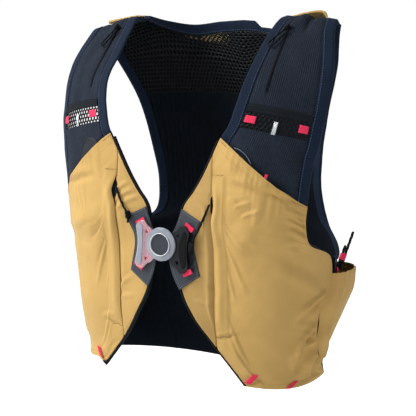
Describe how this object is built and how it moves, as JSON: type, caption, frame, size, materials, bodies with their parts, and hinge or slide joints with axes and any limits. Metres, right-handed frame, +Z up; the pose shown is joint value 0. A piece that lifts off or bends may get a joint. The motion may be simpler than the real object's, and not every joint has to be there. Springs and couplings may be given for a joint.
{
  "type": "running vest",
  "caption": "running vest with tan front pockets, dark ribbed shoulder straps with net windows, an open body and a round chest clasp",
  "frame": {"origin": "midway between the shoulder straps, level with the ridge of the shoulders that carries them", "axes": "+X to the wearer's left, -Y to the front of the wearer, +Z up"},
  "size_m": [0.3542, 0.2132, 0.4299],
  "materials": {
    "tan_cloth": "plain woven stretch cloth",
    "ribbed_cloth": "ribbed stretch cloth",
    "navy_binding": "flat knitted binding",
    "dark_mesh": "spacer mesh and smooth knit",
    "black_trim": "cord, zip and edging",
    "grey_film": "bonded film patch",
    "red_webbing": "flat tape",
    "silver_tape": "reflective tape",
    "clear_plastic": "frosted clear plastic",
    "grey_plastic": "moulded plastic",
    "dark_plastic": "moulded plastic"
  },
  "bodies": {
    "root": {"back_pad": "dark_mesh", "back_mesh": "dark_mesh", "back_shell": "tan_cloth", "back_collar": "navy_binding", "front_base_left": "dark_mesh", "front_pocket_left": "tan_cloth", "front_placket_left": "tan_cloth", "front_edging_left": "black_trim", "strap_pocket_left": "ribbed_cloth", "strap_mesh_left": "dark_mesh", "strap_elastic_left": "ribbed_cloth", "strap_upper_left": "ribbed_cloth", "strap_binding_in_left": "navy_binding", "strap_binding_out_left": "navy_binding", "window_tab_in_left": "red_webbing", "window_tab_out_left": "red_webbing", "window_tab_mid_left": "silver_tape", "hem_tab_front_left": "red_webbing", "hem_tab_side_left": "red_webbing", "strap_zip_left": "black_trim", "zip_pull_left": "black_trim", "slit_pull_left": "black_trim", "clasp_tab_left": "grey_film", "side_pocket_left": "tan_cloth", "side_strap_left": "black_trim", "adjuster_tab_left": "red_webbing", "adjuster_pull_left": "black_trim", "armhole_binding_left": "navy_binding", "front_base_right": "dark_mesh", "front_pocket_right": "tan_cloth", "front_placket_right": "tan_cloth", "front_edging_right": "black_trim", "strap_pocket_right": "ribbed_cloth", "strap_mesh_right": "dark_mesh", "strap_elastic_right": "ribbed_cloth", "strap_upper_right": "ribbed_cloth", "strap_binding_in_right": "navy_binding", "strap_binding_out_right": "navy_binding", "window_tab_in_right": "red_webbing", "window_tab_out_right": "red_webbing", "window_tab_mid_right": "silver_tape", "hem_tab_front_right": "red_webbing", "hem_tab_side_right": "red_webbing", "strap_zip_right": "black_trim", "zip_pull_right": "black_trim", "slit_pull_right": "black_trim", "clasp_tab_right": "grey_film", "side_pocket_right": "tan_cloth", "side_strap_right": "black_trim", "adjuster_tab_right": "red_webbing", "adjuster_pull_right": "black_trim", "armhole_binding_right": "navy_binding", "clasp_web_left": "red_webbing", "clasp_plate_left": "dark_plastic", "clasp_web_right": "red_webbing", "clasp_plate_right": "clear_plastic", "clasp_ring": "clear_plastic", "clasp_disc": "grey_plastic", "round_patch_right": "dark_plastic"}
  },
  "joints": []
}
